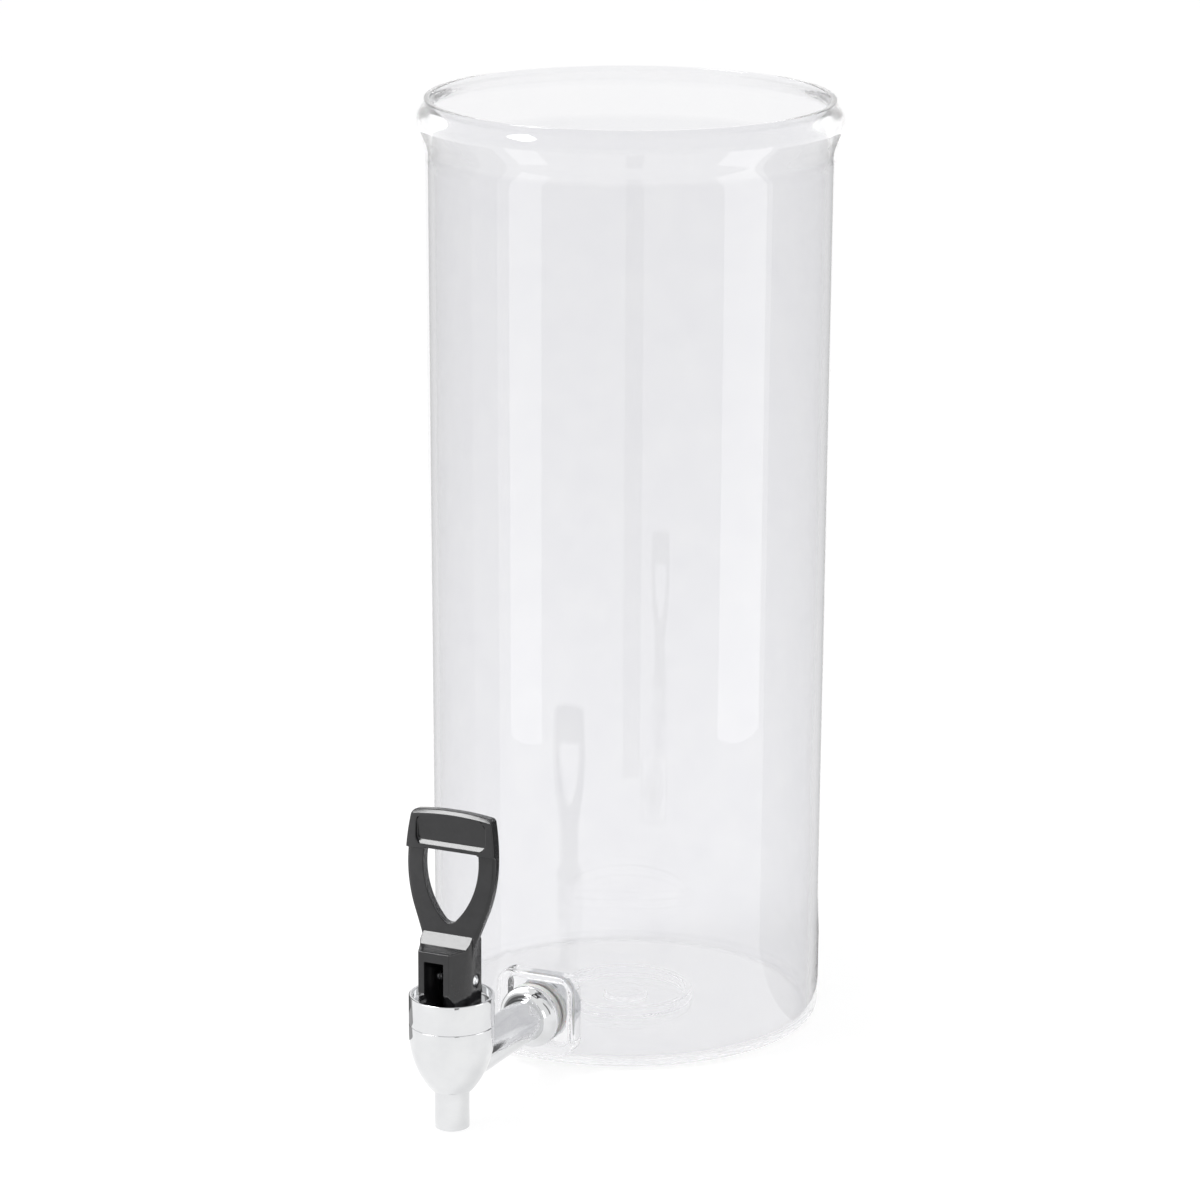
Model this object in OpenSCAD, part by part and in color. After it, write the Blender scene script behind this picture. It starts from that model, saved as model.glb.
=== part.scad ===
// Juice dispenser: a clear open vessel with a self-closing tap near its base.
// The origin is the middle of the vessel's underside, +Z is up and the tap points along -Y.

/* [Vessel] */
// Height from the underside to the lip
vessel_h = 410; // [370:1:450]
// Outer diameter at the base
vessel_base_d = 172; // [160:1:186]
// Outer diameter just under the rim
vessel_top_d = 176; // [166:1:190]
// Thickness of the wall
vessel_wall = 3.6; // [3:0.1:4.4]
// Thickness of the floor
floor_t = 3.8; // [3:0.1:6]
// Outer radius of the base edge
base_edge_r = 5; // [3:0.1:6]
// Radius between the floor and the wall inside
floor_fillet_r = 3; // [1:0.1:5]

/* [Rim] */
// Height of the swollen rim
rim_h = 26; // [22:0.5:32]
// How far the rim swells out of the wall
rim_out = 3.7; // [2:0.1:5]
// Height of the part of the rim above its widest place
rim_crown_h = 9; // [7:0.5:12]
// Diameter of the lip's outer edge
lip_d = 177; // [175:0.5:181]
// Thickness of the lip
lip_t = 2.6; // [2.2:0.1:3.2]
// Radius of the lip's edges
lip_edge_r = 0.6; // [0.3:0.1:0.9]
// Height over which the wall thins to the lip
lip_taper_h = 12; // [8:0.5:16]

/* [Floor ring] */
// Outer diameter of the ring on the floor
ring_d = 59.6; // [50:0.2:80]
// Thickness of the ring
ring_t = 3; // [2:0.1:4]
// Height of the ring above the floor
ring_h = 4.2; // [3:0.1:8]
// Diameter of the low boss in the middle of the floor
boss_d = 19; // [12:0.5:30]
// Height of the boss above the floor
boss_h = 2.4; // [1:0.1:4]

/* [Tap seat] */
// Width of the square seat moulded on the wall
seat_w = 36.6; // [36:0.1:42]
// Height of the seat
seat_h = 36; // [35:0.5:40]
// Radius of the seat's corners
seat_corner_r = 7; // [5:0.1:9]
// Radius of the seat's front edges
seat_edge_r = 1.6; // [1:0.1:2.4]
// How far the seat's face stands in front of the wall
seat_rise = 6.8; // [5:0.1:9]
// Thickness of the seat behind its face
seat_wall = 5; // [4:0.1:5.5]
// Thickness of the seat's side walls
seat_side = 3.6; // [3:0.1:3.9]
// Height of the tap hole above the underside
tap_hole_z = 25; // [25:0.5:40]
// Radial play of the shank in the tap hole
tap_hole_play = 0.4; // [0.2:0.05:0.8]

/* [Tap body] */
// Distance from the seat's face to the tap's upright axis
tap_reach = 77; // [62:1:100]
// How far the spout's end lies below the shank's axis
spout_drop = 24.8; // [22:0.1:25]
// Outer diameter of the spout
spout_d = 14.8; // [13.6:0.1:16]
// Length of the spout
spout_len = 17; // [15:0.1:18]
// Bore of the spout
spout_bore_d = 10; // [8:0.1:11]
// Diameter of the bowl and the collar
bowl_d = 35.8; // [35.2:0.1:40]
// Diameter of the foot of the bowl, where the spout begins
bowl_foot_d = 18.2; // [17.2:0.1:22]
// Height of the bowl from the spout to the seam
bowl_h = 28.8; // [28.6:0.1:34]
// Straight part of the bowl under the seam
bowl_straight_h = 4.1; // [2:0.1:6]
// Diameter of the shank between the bowl and the flange
shank_d = 18; // [16.4:0.1:20]
// Diameter of the threaded end of the shank
thread_d = 15.6; // [15:0.1:16]
// Bore of the shank
shank_bore_d = 10.4; // [8:0.1:11]
// Diameter of the shank's flange
flange_d = 27.2; // [25:0.1:29]
// Thickness of the flange's rim
flange_rim_t = 2.2; // [1.5:0.1:3]
// Length of bare thread past the nut
thread_past_nut = 2; // [1:0.1:5]

/* [Valve] */
// Diameter of the valve stem
stem_d = 8; // [7.4:0.1:8.2]
// Height of the valve seat above the foot of the bowl
valve_seat_rise = 2; // [1.5:0.1:2.6]
// Diameter of the chamber above the valve seat
chamber_d = 23; // [22.6:0.1:23.6]
// Diameter of the threaded socket in the bowl
socket_d = 28.1; // [27.6:0.1:29]
// Length of the bonnet's threaded skirt
skirt_len = 6.1; // [5:0.1:6.6]
// Thickness of the seat cup's clamped flange
cup_flange_t = 2; // [1.4:0.1:2.4]
// Thickness of the seat cup's skirt
cup_skirt_t = 1.3; // [1:0.1:1.6]
// Mean diameter of the spring
spring_d = 11.2; // [11:0.1:12]
// Diameter of the spring's wire
spring_wire_d = 1.2; // [0.9:0.05:1.3]
// Number of turns of the spring
spring_turns = 9; // [7:1:10]

/* [Bonnet] */
// Height of the collar above the seam
collar_h = 12.7; // [12:0.1:18]
// Depth of the cup that the lever stands in
cup_depth = 4.1; // [3:0.1:5]
// Thickness of the collar's wall round the cup
collar_wall = 1.3; // [1:0.1:1.5]
// Thickness of the bonnet's web that guides the stem
web_t = 4; // [3:0.1:5]

/* [Lever] */
// Width of the lever's block
block_w = 23.2; // [22.6:0.1:24]
// Width of the block's front face
nose_w = 14.2; // [13.6:0.1:15.2]
// Distance from the pin to the block's front face
nose_y = 16.4; // [14:0.1:16.8]
// Distance from the pin to the block's back face
tail_y = 10.5; // [10.2:0.1:11]
// Height of the block above the collar
block_h = 22.6; // [20:0.1:26]
// Height of the pin above the collar
pin_rise = 7.4; // [6.8:0.1:8.5]
// Diameter of the cross-pin
pin_d = 4.5; // [4:0.1:4.6]
// Width of the slot for the stem
slot_w = 8.8; // [8.6:0.1:9.2]
// Height of the web over the slot
slot_roof = 4.4; // [3:0.1:5]
// Distance from the pin to where the heel starts to rise
heel_y = 10.6; // [9:0.1:10.8]
// Rise of the heel at the block's front
heel_rise = 8.6; // [7:0.1:9.4]
// Height of the slope between the block's shelf and the grip
shelf_rise = 4.6; // [3:0.1:6]
// Depth of that slope from front to back
shelf_run = 4.8; // [4:0.1:5.6]

/* [Grip] */
// Height of the grip above the block
grip_h = 56.3; // [54:0.1:66]
// Greatest width of the grip
grip_w = 40.8; // [38:0.1:44]
// Width of the grip at its top
grip_top_w = 37.2; // [34:0.1:37.6]
// Depth of the grip's widest place below its top
grip_wide_drop = 21.8; // [18:0.1:24]
// Radius of the curve below the widest place
grip_flank_r = 61; // [50:1:75]
// Slope of the straight flank from upright, in degrees
grip_flank_slope = 21; // [18:0.1:22]
// Lean of the grip backwards from upright, in degrees
grip_lean = 4.5; // [0:0.1:6]
// Rise of the arched top edge in its middle
grip_crown = 1.1; // [0.4:0.1:2]
// Radius of the top corners
grip_corner_r = 2.2; // [1.4:0.1:5]
// Thickness of the grip's legs
grip_t = 4.4; // [3.6:0.1:5.4]
// Distance from the pin's axis to the front of the legs
grip_front_y = 4.5; // [4:0.1:5]
// How far the crossbar stands in front of the legs
bar_proud = 1.3; // [0.6:0.1:2]
// Height of the crossbar above the finger hole
bar_h = 16.9; // [15:0.1:20]
// Greatest width of the finger hole
hole_w = 25.6; // [22:0.1:27]
// Height of the finger hole
hole_h = 30.8; // [28:0.1:32]
// Depth of the hole's widest place below its top
hole_wide_drop = 5.1; // [4:0.1:7]
// Radius of the hole's lower tip
hole_tip_r = 4.2; // [3:0.1:5]
// Width of the bevel along the crossbar's arched top
brow_bevel = 1.7; // [1:0.1:1.8]
// Width of the thumb rest
thumb_w = 32; // [28:0.1:32.4]
// Radius of the thumb rest's ends
thumb_end_r = 4; // [2:0.1:5]
// Depth of the thumb rest
thumb_depth = 1.9; // [1:0.1:2.4]
// Height of the lip below the thumb rest
thumb_lip = 1.5; // [1:0.1:2.5]

/* [Fixings] */
// Thickness of the gasket outside the vessel
outer_gasket_t = 3; // [2:0.1:4]
// Thickness of the gasket inside the vessel
inner_gasket_t = 2.5; // [2:0.1:4]
// Thickness of the flat washer
washer_t = 1.5; // [1:0.1:2]
// Diameter of the washer and of the inner gasket
washer_d = 26; // [24:0.1:27.4]
// Width of the nut across its flats
nut_af = 24; // [22:0.1:24.6]
// Height of the nut
nut_h = 8; // [6:0.1:10]

/* [Fits] */
// Radial play of the lever on its pin
pin_play = 0.05; // [0.03:0.01:0.08]
// Radial play of the stem in the bonnet
stem_play = 0.06; // [0.03:0.01:0.09]
// Radial play of fixed pieces on each other
fixed_play = 0.05; // [0.02:0.01:0.1]
// Gap between pieces that rest on each other and then move
rest_gap = 0.1; // [0.05:0.01:0.2]
// Gap between the lever's heel and the bonnet at rest
heel_gap = 0.3; // [0.2:0.05:0.4]

/* [Hidden] */
$fn = 96;
past = 1;

clear_plastic = [0.86, 0.87, 0.9, 0.35];
chrome = [0.82, 0.83, 0.85];
black_plastic = [0.09, 0.09, 0.095];
soft_grey = [0.72, 0.72, 0.66];
soft_white = [0.9, 0.9, 0.88];
steel = [0.7, 0.71, 0.73];

// Vessel
base_r = vessel_base_d / 2;
top_r = vessel_top_d / 2;
lip_r = lip_d / 2;
rim_foot_z = vessel_h - rim_h;
rim_wide_z = vessel_h - rim_crown_h;
function wall_r(z) = base_r + (top_r - base_r) * z / rim_foot_z;
function inside_r(z) = wall_r(z) - vessel_wall;

// Tap seat and the stack clamped through it, measured from the vessel's axis towards the tap
seat_face = wall_r(tap_hole_z) + seat_rise;
thread_r = thread_d / 2;
tap_y = seat_face + tap_reach;

// Distances along the shank from the tap's axis towards the vessel
flange_face = tap_reach - outer_gasket_t;
seat_back = tap_reach + seat_wall;
washer_face = seat_back + inner_gasket_t;
nut_face = washer_face + washer_t;
thread_end = nut_face + nut_h + thread_past_nut;

// Heights on the tap's axis above the shank's axis
spout_end_z = -spout_drop;
bowl_foot_z = spout_end_z + spout_len;
seam_z = bowl_foot_z + bowl_h;
bowl_shoulder_z = seam_z - bowl_straight_h;
collar_top_z = seam_z + collar_h;
cup_floor_z = collar_top_z - cup_depth;
web_z = cup_floor_z - web_t;
valve_seat_z = bowl_foot_z + valve_seat_rise;
skirt_z = seam_z - skirt_len;
ledge_z = skirt_z - cup_flange_t;
pin_z = collar_top_z + pin_rise;
block_foot_z = cup_floor_z + heel_gap;
block_top_z = collar_top_z + block_h;
grip_top_z = block_top_z + grip_h;
hole_top_z = grip_top_z - bar_h;

// Radii on the tap's axis
bowl_r = bowl_d / 2;
bowl_foot_r = bowl_foot_d / 2;
spout_r = spout_d / 2;
spout_bore_r = spout_bore_d / 2;
chamber_r = chamber_d / 2;
socket_r = socket_d / 2;
stem_r = stem_d / 2;
pin_r = pin_d / 2;
cup_r = bowl_r - collar_wall;
seam_chamfer = 0.3;

// Valve chamber: a cone from the valve seat up to the straight wall
valve_seat_w = 2;
chamber_foot_r = spout_bore_r + valve_seat_w;
chamber_cone_h = 8.2;

// Seat cup: a plug on the valve seat, a thin skirt and a clamped flange
plug_side_gap = 0.4;
plug_r = chamber_foot_r - plug_side_gap;
plug_h = 5.1;
plug_z = valve_seat_z + rest_gap;
plug_top_z = plug_z + plug_h;
plug_straight_h = 1.6;
cup_side_gap = 1.2;
cup_skirt_r = chamber_r - cup_side_gap;
cup_flange_gap = 0.2;
cup_flange_r = socket_r - cup_flange_gap;
cup_skirt_h = 8;

// Stem foot, held in the plug
foot_r = 4.7;
foot_h = 1.8;
plug_floor_t = 1.7;
foot_z = plug_z + plug_floor_t;
foot_neck_r = 3;
stem_head_h = 4.6;

// Slot and pin in the lever's block
slot_top_z = block_top_z - slot_roof;
slot_back = 6.5;
pin_sink = 0.3;
pin_recess_w = 0.7;
pin_recess_r = pin_r + pin_recess_w;
pin_recess_depth = 0.8;

function arc(cx, cy, r, from, to, steps) =
    [for (i = [0 : steps]) let (a = from + (to - from) * i / steps) [cx + r * cos(a), cy + r * sin(a)]];

// Smooth step from one radius to another, leaving out its first point
function swell(r0, r1, z0, z1, steps) =
    [for (i = [1 : steps]) [r0 + (r1 - r0) * (1 - cos(180 * i / steps)) / 2, z0 + (z1 - z0) * i / steps]];

function mirrored(right) = concat(right, [for (i = [len(right) - 1 : -1 : 0]) [-right[i].x, right[i].y]]);

function rounded_box(w, h, r) = concat(
    arc(w / 2 - r, h / 2 - r, r, 0, 90, 6),
    arc(r - w / 2, h / 2 - r, r, 90, 180, 6),
    arc(r - w / 2, r - h / 2, r, 180, 270, 6),
    arc(w / 2 - r, r - h / 2, r, 270, 360, 6));

// Places children on the tap: the tap's axis is their Z axis and the shank's axis is at z = 0
module at_tap() {
    translate([0, -tap_y, tap_hole_z])
        children();
}

// Turns a profile about the shank's axis: its height runs from the tap's axis towards the vessel
module about_shank() {
    rotate([-90, 0, 0])
        rotate_extrude()
            children();
}

// Extrudes a front view towards the front, from y = 0
module front_view(depth) {
    rotate([90, 0, 0])
        linear_extrude(depth)
            children();
}

// Extrudes a side view, drawn in y and z, across the width
module side_view(width) {
    rotate([90, 0, 90])
        linear_extrude(width, center = true)
            children();
}

module ring(outer_r, inner_r, from, to) {
    about_shank()
        translate([inner_r, from])
            square([outer_r - inner_r, to - from]);
}

module vessel_outside() {
    rotate_extrude()
        polygon(concat(
            [[0, 0]],
            arc(wall_r(base_edge_r) - base_edge_r, base_edge_r, base_edge_r, -90, 0, 8),
            [[top_r, rim_foot_z]],
            swell(top_r, top_r + rim_out, rim_foot_z, rim_wide_z, 12),
            swell(top_r + rim_out, lip_r, rim_wide_z, vessel_h - lip_edge_r, 8),
            arc(lip_r - lip_edge_r, vessel_h - lip_edge_r, lip_edge_r, 22.5, 90, 3),
            [[0, vessel_h]]));
}

module vessel_inside() {
    lip_foot_z = vessel_h - lip_taper_h;
    lip_inside_r = lip_r - lip_t;
    fillet_z = floor_t + floor_fillet_r;
    rotate_extrude()
        polygon(concat(
            [[0, floor_t]],
            arc(inside_r(fillet_z) - floor_fillet_r, fillet_z, floor_fillet_r, -90, 0, 6),
            [[inside_r(rim_foot_z), lip_foot_z]],
            swell(inside_r(rim_foot_z), lip_inside_r, lip_foot_z, vessel_h - lip_edge_r, 6),
            arc(lip_inside_r + lip_edge_r, vessel_h - lip_edge_r, lip_edge_r, 157.5, 90, 3),
            [[lip_inside_r + lip_edge_r, vessel_h + past], [0, vessel_h + past]]));
}

// Square seat with rounded front edges, from the vessel's axis out to its face
module seat_block() {
    edge = rounded_box(seat_w, 2 * seat_face, seat_edge_r);
    translate([0, 0, tap_hole_z])
        intersection() {
            front_view(seat_face)
                polygon(rounded_box(seat_w, seat_h, seat_corner_r));
            linear_extrude(seat_h + past, center = true)
                polygon(edge);
            side_view(seat_w + past)
                polygon(rounded_box(2 * seat_face, seat_h, seat_edge_r));
        }
}

module seat_pocket() {
    translate([0, 0, tap_hole_z])
        front_view(seat_face - seat_wall)
            polygon(rounded_box(seat_w - 2 * seat_side, seat_h - 2 * seat_side, seat_corner_r - seat_side));
}

module floor_ring() {
    chamfer = 0.6;
    inner_r = ring_d / 2 - ring_t;
    rotate_extrude()
        polygon([
            [inner_r, floor_t - past], [ring_d / 2, floor_t - past],
            [ring_d / 2, floor_t + ring_h - chamfer], [ring_d / 2 - chamfer, floor_t + ring_h],
            [inner_r + chamfer, floor_t + ring_h], [inner_r, floor_t + ring_h - chamfer]]);
}

module vessel() {
    color(clear_plastic) {
        difference() {
            union() {
                vessel_outside();
                seat_block();
            }
            vessel_inside();
            seat_pocket();
            translate([0, 0, tap_hole_z])
                rotate([90, 0, 0])
                    cylinder(r = thread_r + tap_hole_play, h = seat_face + past);
        }
        floor_ring();
        translate([0, 0, floor_t - past])
            cylinder(d = boss_d, h = boss_h + past);
    }
}

module bowl_outside() {
    chamfer = 0.4;
    inset = bowl_r - bowl_foot_r;
    drop = bowl_shoulder_z - bowl_foot_z;
    curve_r = (drop * drop + inset * inset) / (2 * inset);
    rotate_extrude()
        polygon(concat(
            [[0, spout_end_z], [spout_r - chamfer, spout_end_z], [spout_r, spout_end_z + chamfer],
                [spout_r, bowl_foot_z]],
            arc(bowl_r - curve_r, bowl_shoulder_z, curve_r, -asin(drop / curve_r), 0, 14),
            [[bowl_r, seam_z - seam_chamfer], [bowl_r - seam_chamfer, seam_z], [0, seam_z]]));
}

module bowl_inside() {
    cone_z = valve_seat_z + chamber_cone_h;
    rotate_extrude()
        polygon([
            [0, spout_end_z - past], [spout_bore_r, spout_end_z - past], [spout_bore_r, valve_seat_z],
            [chamber_foot_r, valve_seat_z], [chamber_r, cone_z], [chamber_r, ledge_z],
            [socket_r, ledge_z], [socket_r, seam_z + past], [0, seam_z + past]]);
}

module shank() {
    flange_r = flange_d / 2;
    flare_r = flange_r - shank_d / 2;
    flare_z = flange_face - flange_rim_t - flare_r;
    about_shank()
        polygon(concat(
            [[0, 0], [shank_d / 2, 0]],
            arc(flange_r, flare_z, flare_r, 180, 90, 8),
            [[flange_r, flange_face], [thread_r, flange_face], [thread_r, thread_end], [0, thread_end]]));
}

module tap_body() {
    color(chrome)
        at_tap()
            difference() {
                union() {
                    bowl_outside();
                    shank();
                }
                bowl_inside();
                rotate([-90, 0, 0])
                    cylinder(d = shank_bore_d, h = thread_end + past);
            }
}

module bonnet() {
    edge = 0.4;
    skirt_r = socket_r - fixed_play;
    guide_r = stem_r + stem_play;
    color(chrome)
        at_tap()
            rotate_extrude()
                polygon([
                    [guide_r, web_z], [chamber_r, web_z], [chamber_r, skirt_z], [skirt_r, skirt_z],
                    [skirt_r, seam_z], [bowl_r - seam_chamfer, seam_z], [bowl_r, seam_z + seam_chamfer],
                    [bowl_r, collar_top_z - edge], [bowl_r - edge, collar_top_z], [cup_r, collar_top_z],
                    [cup_r, cup_floor_z], [guide_r, cup_floor_z]]);
}

module seat_cup() {
    skirt_z0 = plug_z + plug_straight_h;
    skirt_z1 = skirt_z0 + cup_skirt_h;
    skirt_slope = (cup_skirt_r - plug_r) / cup_skirt_h;
    plug_top_r = plug_r + skirt_slope * (plug_top_z - skirt_z0) - cup_skirt_t;
    neck_r = foot_neck_r + rest_gap;
    socket_foot_r = foot_r + rest_gap;
    color(soft_white)
        at_tap()
            rotate_extrude()
                polygon([
                    [0, plug_z], [plug_r, plug_z], [plug_r, skirt_z0], [cup_skirt_r, skirt_z1],
                    [cup_skirt_r, ledge_z + fixed_play], [cup_flange_r, ledge_z + fixed_play],
                    [cup_flange_r, skirt_z - fixed_play], [cup_skirt_r - cup_skirt_t, skirt_z - fixed_play],
                    [cup_skirt_r - cup_skirt_t, skirt_z1], [plug_top_r, plug_top_z], [neck_r, plug_top_z],
                    [neck_r, foot_z + foot_h + rest_gap], [socket_foot_r, foot_z + foot_h + rest_gap],
                    [socket_foot_r, foot_z - rest_gap], [0, foot_z - rest_gap]]);
}

module valve_stem() {
    head_z = pin_z + stem_head_h;
    chamfer = 0.8;
    shoulder_z = plug_top_z + rest_gap;
    color(black_plastic)
        at_tap()
            difference() {
                rotate_extrude()
                    polygon([
                        [0, foot_z], [foot_r, foot_z], [foot_r, foot_z + foot_h],
                        [foot_neck_r, foot_z + foot_h], [foot_neck_r, shoulder_z], [stem_r, shoulder_z],
                        [stem_r, head_z - chamfer], [stem_r - chamfer, head_z], [0, head_z]]);
                translate([0, 0, pin_z])
                    rotate([0, 90, 0])
                        cylinder(r = pin_r + fixed_play, h = 4 * stem_r, center = true);
            }
}

module handle_pin() {
    chamfer = 0.3;
    half = block_w / 2 - pin_sink;
    color(steel)
        at_tap()
            translate([0, 0, pin_z])
                rotate([0, 90, 0])
                    rotate_extrude()
                        polygon([
                            [0, -half], [pin_r - chamfer, -half], [pin_r, chamfer - half],
                            [pin_r, half - chamfer], [pin_r - chamfer, half], [0, half]]);
}

// Half outline of the grip from its neck to the middle of its top
function grip_right() =
    let (
        half = grip_w / 2,
        top_half = grip_top_w / 2,
        wide_z = grip_top_z - grip_wide_drop,
        neck = block_w / 2,
        flank_x = half - grip_flank_r * (1 - cos(grip_flank_slope)),
        flank_z = wide_z - grip_flank_r * sin(grip_flank_slope),
        neck_z = flank_z - (flank_x - neck) / tan(grip_flank_slope),
        corner_x = top_half - grip_corner_r,
        corner_z = grip_top_z - grip_crown - grip_corner_r,
        brow_h = corner_z - wide_z,
        brow_in = half - top_half,
        brow_r = (brow_h * brow_h + brow_in * brow_in) / (2 * brow_in)
    ) concat(
        [[neck, block_top_z - shelf_rise], [neck, neck_z]],
        arc(half - grip_flank_r, wide_z, grip_flank_r, -grip_flank_slope, 0, 10),
        [for (i = [1 : 4]) let (a = asin(brow_h / brow_r) * i / 4)
            [half - brow_r + brow_r * cos(a), wide_z + brow_r * sin(a)]],
        [for (i = [1 : 5]) let (a = 90 * i / 6)
            [corner_x + grip_corner_r * cos(a), corner_z + grip_corner_r * sin(a)]],
        [for (u = [0.75, 0.5, 0.25]) [corner_x * u, grip_top_z - grip_crown * u * u]]);

// Half outline of the finger hole: a long arc that runs into a round tip
function hole_right() =
    let (
        half = hole_w / 2,
        tip_drop = hole_h - hole_wide_drop - hole_tip_r,
        side_r = (tip_drop * tip_drop + half * half - hole_tip_r * hole_tip_r) / (2 * (half - hole_tip_r)),
        wide_z = hole_top_z - hole_wide_drop,
        tip_a = acos((side_r - half) / (side_r - hole_tip_r))
    ) concat(
        arc(half - side_r, wide_z, side_r, asin(hole_wide_drop / side_r), -tip_a, 14),
        [for (i = [1 : 3]) let (b = -tip_a - (90 - tip_a) * i / 4)
            [hole_tip_r * cos(b), wide_z - tip_drop + hole_tip_r * sin(b)]]);

// Leans children back about the pin
module leaning() {
    translate([0, 0, pin_z])
        rotate([-grip_lean, 0, 0])
            translate([0, 0, -pin_z])
                children();
}

// Thumb rest: a hollow that deepens towards the lip over the finger hole
module thumb_rest() {
    brow_land = 0.4;
    lip_z = hole_top_z + thumb_lip;
    deep_z = lip_z + thumb_depth;
    brow_z = grip_top_z - grip_crown - brow_bevel - brow_land;
    face = -grip_front_y - bar_proud;
    bulge = 0.7;
    intersection() {
        side_view(thumb_w + past)
            polygon([
                [face - past, brow_z], [face, brow_z], [face + bulge * thumb_depth, (brow_z + deep_z) / 2],
                [face + thumb_depth, deep_z], [face, lip_z], [face - past, lip_z]]);
        translate([0, 0, (brow_z + lip_z) / 2])
            front_view(grip_front_y + bar_proud + past)
                polygon(rounded_box(thumb_w, brow_z - lip_z + past, thumb_end_r));
    }
}

// Bevel along the arched top: a cone about the arch's own centre
module brow_cut() {
    half = grip_top_w / 2 - grip_corner_r;
    arch_r = (half * half + grip_crown * grip_crown) / (2 * grip_crown);
    foot_r = arch_r - brow_bevel;
    face = grip_front_y + bar_proud;
    translate([0, 0, grip_top_z - arch_r])
        rotate([90, 0, 0])
            rotate_extrude()
                polygon([
                    [foot_r - past, face + past], [arch_r + past, face + past],
                    [arch_r + past, face - brow_bevel - past]]);
}

// Grip: a flat ring of two legs with a thicker crossbar
module grip() {
    leaning()
        difference() {
            union() {
                translate([0, grip_t - grip_front_y, 0])
                    front_view(grip_t)
                        polygon(mirrored(grip_right()));
                translate([0, grip_t - grip_front_y, 0])
                    front_view(grip_t + bar_proud)
                        intersection() {
                            polygon(mirrored(grip_right()));
                            translate([-grip_w, hole_top_z])
                                square([2 * grip_w, grip_h]);
                        }
            }
            translate([0, grip_h, 0])
                front_view(2 * grip_h)
                    polygon(mirrored(hole_right()));
            brow_cut();
            thumb_rest();
        }
}

// Block at the foot of the lever: a plan with a tapered nose, cut by a side view with shelf and heel
module block() {
    side_front = 5.6;
    side_back = 4.6;
    tail_rise = 1;
    tail_drop = 2;
    top_z = block_top_z + shelf_rise;
    root_front = grip_front_y - (top_z - pin_z) * tan(grip_lean);
    root_back = grip_t - root_front;
    heel_slope = heel_rise / (nose_y - heel_y);
    intersection() {
        translate([0, 0, block_foot_z])
            linear_extrude(top_z - block_foot_z)
                polygon([
                    [-nose_w / 2, -nose_y], [nose_w / 2, -nose_y], [block_w / 2, -side_front],
                    [block_w / 2, side_back], [nose_w / 2, tail_y], [-nose_w / 2, tail_y],
                    [-block_w / 2, side_back], [-block_w / 2, -side_front]]);
        side_view(block_w + past)
            polygon([
                [-nose_y - past, block_foot_z + heel_rise + past * heel_slope], [-heel_y, block_foot_z],
                [tail_y - tail_rise, block_foot_z], [tail_y + past, block_foot_z + tail_rise + past],
                [tail_y + past, block_top_z - tail_drop], [tail_y, block_top_z - tail_drop],
                [root_back, top_z], [-root_front, top_z], [-root_front - shelf_run, block_top_z],
                [-nose_y - past, block_top_z]]);
    }
}

module handle() {
    color(black_plastic)
        at_tap()
            difference() {
                union() {
                    block();
                    grip();
                }
                translate([-slot_w / 2, -nose_y - past, block_foot_z - past])
                    cube([slot_w, nose_y + past + slot_back, slot_top_z - block_foot_z + past]);
                translate([0, 0, pin_z])
                    rotate([0, 90, 0])
                        cylinder(r = pin_r + pin_play, h = 2 * block_w, center = true);
                for (side = [-1, 1])
                    translate([side * block_w / 2, 0, pin_z])
                        rotate([0, 90, 0])
                            cylinder(r = pin_recess_r, h = 2 * pin_recess_depth, center = true);
            }
}

// Spring: one tube along a helix between the seat cup and the bonnet's web
spring_steps = 8;
spring_sides = 6;
spring_foot_z = plug_top_z + rest_gap + spring_wire_d / 2;
spring_head_z = web_z - rest_gap - spring_wire_d / 2;
spring_rings = spring_turns * spring_steps;
spring_pitch = (spring_head_z - spring_foot_z) / spring_turns;
function spring_at(i) =
    let (a = 360 * i / spring_steps)
    [spring_d / 2 * cos(a), spring_d / 2 * sin(a), spring_foot_z + spring_pitch * i / spring_steps];
function spring_ring(i) =
    let (
        a = 360 * i / spring_steps,
        run = PI * spring_d,
        long = sqrt(run * run + spring_pitch * spring_pitch),
        out = [cos(a), sin(a), 0],
        up = [spring_pitch * sin(a) / long, -spring_pitch * cos(a) / long, run / long]
    )
    [for (k = [0 : spring_sides - 1]) let (b = 360 * k / spring_sides)
        spring_at(i) + spring_wire_d / 2 * (cos(b) * out + sin(b) * up)];
spring_points = [for (i = [0 : spring_rings]) each spring_ring(i)];
spring_walls = [for (i = [0 : spring_rings - 1]) for (k = [0 : spring_sides - 1])
    let (a = i * spring_sides + k, b = i * spring_sides + (k + 1) % spring_sides)
        each [[a, b + spring_sides, b], [a, a + spring_sides, b + spring_sides]]];
spring_last = spring_rings * spring_sides;
spring_ends = [for (k = [1 : spring_sides - 2])
    each [[0, k, k + 1], [spring_last, spring_last + k + 1, spring_last + k]]];
spring_self_gap = min([for (i = [0 : spring_rings]) for (j = [i + spring_steps / 2 : 1 : spring_rings])
    norm(spring_at(j) - spring_at(i)) - spring_wire_d]);
echo(spring_self_gap_mm = spring_self_gap);

module spring() {
    color(steel)
        at_tap()
            polyhedron(spring_points, concat(spring_walls, spring_ends));
}

module outer_gasket() {
    color(soft_grey)
        at_tap()
            ring(flange_d / 2, thread_r + fixed_play, flange_face, tap_reach);
}

module inner_gasket() {
    color(soft_grey)
        at_tap()
            ring(washer_d / 2, thread_r + fixed_play, seat_back, washer_face);
}

module flat_washer() {
    color(steel)
        at_tap()
            ring(washer_d / 2, thread_r + fixed_play, washer_face, nut_face);
}

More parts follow.
